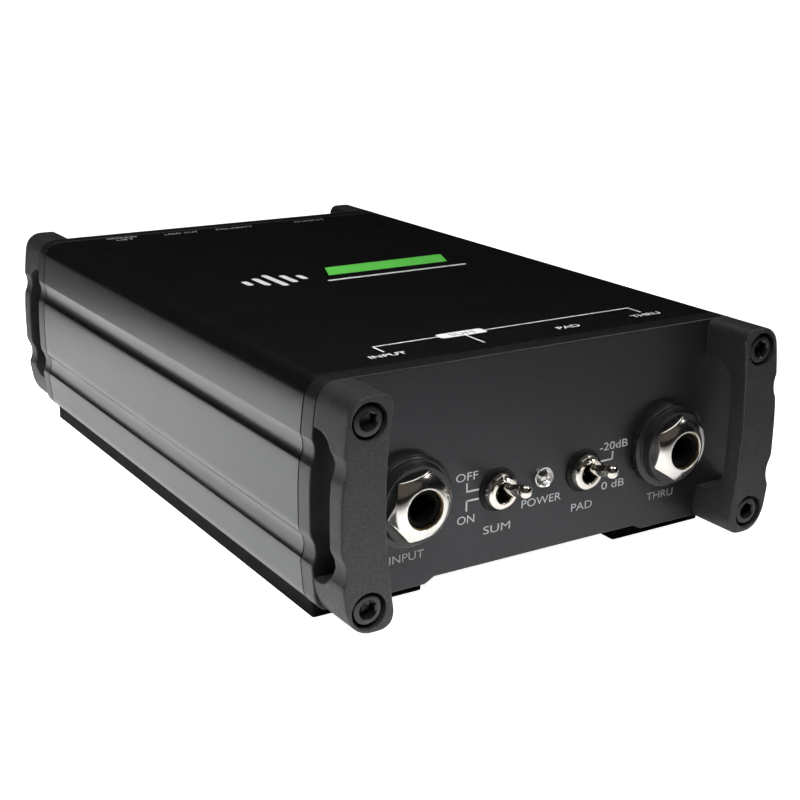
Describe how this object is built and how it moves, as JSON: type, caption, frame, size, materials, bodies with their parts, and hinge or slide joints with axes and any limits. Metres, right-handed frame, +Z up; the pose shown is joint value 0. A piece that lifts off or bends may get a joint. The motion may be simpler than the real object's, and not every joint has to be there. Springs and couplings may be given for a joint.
{
  "type": "direct injection box",
  "caption": "Low black metal direct injection box: extruded sleeve, end plates with corner bumpers, phone jacks, toggle switches and an XLR output.",
  "frame": {"origin": "on the floor under the middle of the box, at the underside of the rubber feet", "axes": "+X to the right seen from the front panel, +Y from the front panel to the rear panel, +Z up"},
  "size_m": [0.12, 0.1964, 0.055],
  "materials": {
    "black_anodised": "satin black anodised extrusion",
    "black_panel": "brushed, black anodised",
    "powder_coat": "fine textured powder coat on a casting",
    "black_steel": "black oxide",
    "black_rubber": "matte",
    "black_plastic": "moulded",
    "chrome": "bright plated",
    "nickel": "nickel plated",
    "bronze": "phosphor bronze strip",
    "clear_lens": "clear moulded lens",
    "board_green": "solder resist on glass fibre board",
    "silver_pin": "silver plated"
  },
  "bodies": {
    "case": {"case_sleeve": "black_anodised", "front_panel": "black_panel", "rear_panel": "black_panel", "bumper_front_left": "powder_coat", "screw_front_left_upper": "black_steel", "screw_front_left_lower": "black_steel", "bumper_front_right": "powder_coat", "screw_front_right_upper": "black_steel", "screw_front_right_lower": "black_steel", "bumper_rear_left": "powder_coat", "screw_rear_left_upper": "black_steel", "screw_rear_left_lower": "black_steel", "bumper_rear_right": "powder_coat", "screw_rear_right_upper": "black_steel", "screw_rear_right_lower": "black_steel", "foot_left": "black_rubber", "foot_right": "black_rubber", "input_jack_body": "black_plastic", "input_jack_contact": "bronze", "input_jack_collar": "black_plastic", "input_jack_nut": "chrome", "thru_jack_body": "black_plastic", "thru_jack_contact": "bronze", "thru_jack_collar": "black_plastic", "thru_jack_nut": "chrome", "merge_switch_body": "black_plastic", "merge_switch_bushing": "nickel", "merge_switch_washer": "black_steel", "merge_switch_nut": "nickel", "pad_switch_body": "black_plastic", "pad_switch_bushing": "nickel", "pad_switch_washer": "black_steel", "pad_switch_nut": "nickel", "ground_lift_switch_body": "black_plastic", "ground_lift_switch_bushing": "nickel", "ground_lift_switch_washer": "black_steel", "ground_lift_switch_nut": "nickel", "low_cut_switch_body": "black_plastic", "low_cut_switch_bushing": "nickel", "low_cut_switch_washer": "black_steel", "low_cut_switch_nut": "nickel", "polarity_switch_body": "black_plastic", "polarity_switch_bushing": "nickel", "polarity_switch_washer": "black_steel", "polarity_switch_nut": "nickel", "power_led": "clear_lens", "output_xlr_shell": "black_steel", "output_xlr_insert": "black_plastic", "output_xlr_pin_1": "silver_pin", "output_xlr_pin_2": "silver_pin", "output_xlr_pin_3": "silver_pin", "output_xlr_screw_upper": "black_steel", "output_xlr_screw_lower": "black_steel", "circuit_board": "board_green", "supply_capacitor": "black_plastic"},
    "merge_lever": {"merge_switch_lever": "nickel"},
    "pad_lever": {"pad_switch_lever": "nickel"},
    "ground_lift_lever": {"ground_lift_switch_lever": "nickel"},
    "low_cut_lever": {"low_cut_switch_lever": "nickel"},
    "polarity_lever": {"polarity_switch_lever": "nickel"}
  },
  "joints": [
    {"name": "merge_toggle", "type": "hinge", "parent": "case", "child": "merge_lever", "pos_m": [-0.0122, -0.084, 0.0233], "axis": [1, 0, 0], "range_deg": [0, 29]},
    {"name": "pad_toggle", "type": "hinge", "parent": "case", "child": "pad_lever", "pos_m": [0.0122, -0.084, 0.0233], "axis": [1, 0, 0], "range_deg": [0, 29]},
    {"name": "ground_lift_toggle", "type": "hinge", "parent": "case", "child": "ground_lift_lever", "pos_m": [-0.0354, 0.084, 0.0233], "axis": [-1, 0, 0], "range_deg": [0, 29]},
    {"name": "low_cut_toggle", "type": "hinge", "parent": "case", "child": "low_cut_lever", "pos_m": [-0.017, 0.084, 0.0233], "axis": [-1, 0, 0], "range_deg": [0, 29]},
    {"name": "polarity_toggle", "type": "hinge", "parent": "case", "child": "polarity_lever", "pos_m": [0.0014, 0.084, 0.0233], "axis": [-1, 0, 0], "range_deg": [0, 29]}
  ]
}
